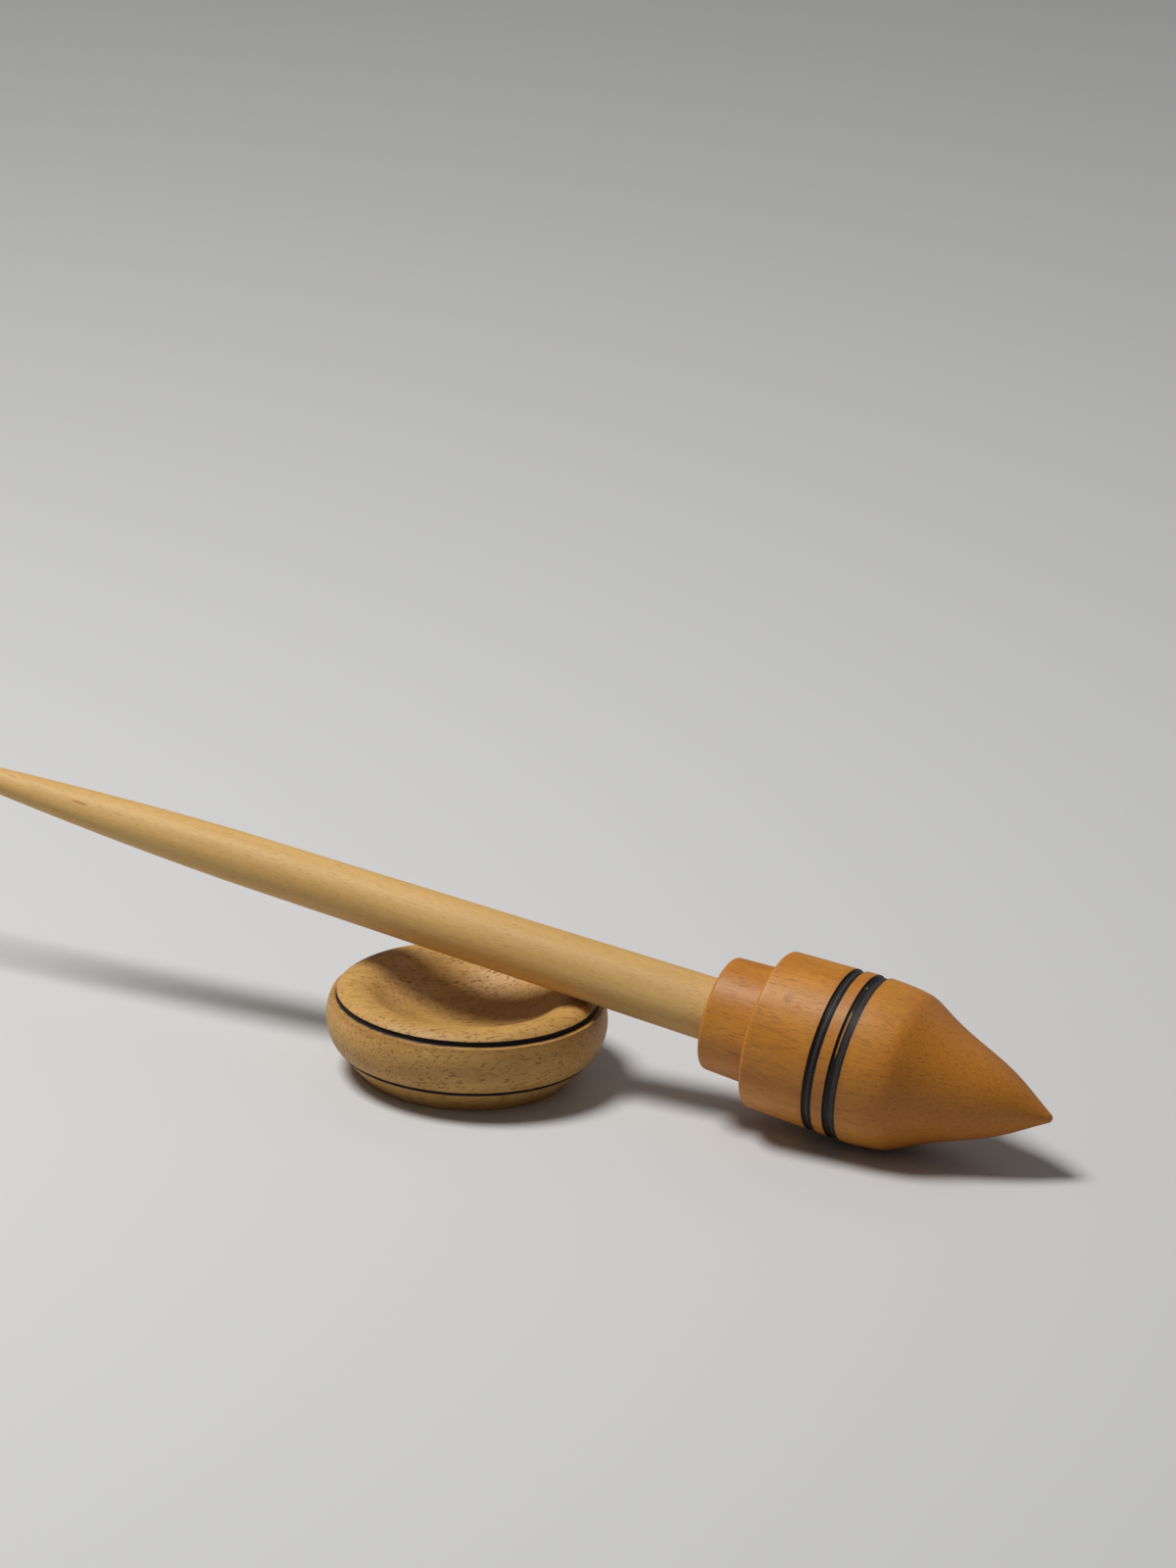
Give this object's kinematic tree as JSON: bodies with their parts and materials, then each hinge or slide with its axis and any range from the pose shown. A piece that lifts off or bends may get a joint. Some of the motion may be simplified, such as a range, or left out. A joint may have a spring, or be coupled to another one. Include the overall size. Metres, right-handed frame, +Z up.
{
  "type": "support spindle",
  "caption": "Supported hand spindle for spinning yarn: a pointed turned whorl on a long tapered shaft, leaning on its shallow wooden spinning bowl.",
  "frame": {"origin": "centre of the bowl's flat foot, on the table", "axes": "+Z up out of the dish, +X towards the whorl's tip, seen from above; the shaft rises towards -X"},
  "size_m": [0.2838, 0.06, 0.0503],
  "materials": {
    "bowl_wood": "oiled",
    "whorl_wood": "oiled",
    "shaft_wood": "oiled"
  },
  "bodies": {
    "bowl": {"bowl": "bowl_wood"},
    "spindle": {"whorl": "whorl_wood", "shaft": "shaft_wood"}
  },
  "joints": [
    {"name": "spindle_spin", "type": "hinge", "parent": "bowl", "child": "spindle", "pos_m": [0.1306, 0.0049, 0.01298], "axis": [-0.9923, 0, 0.1236], "continuous": true}
  ]
}
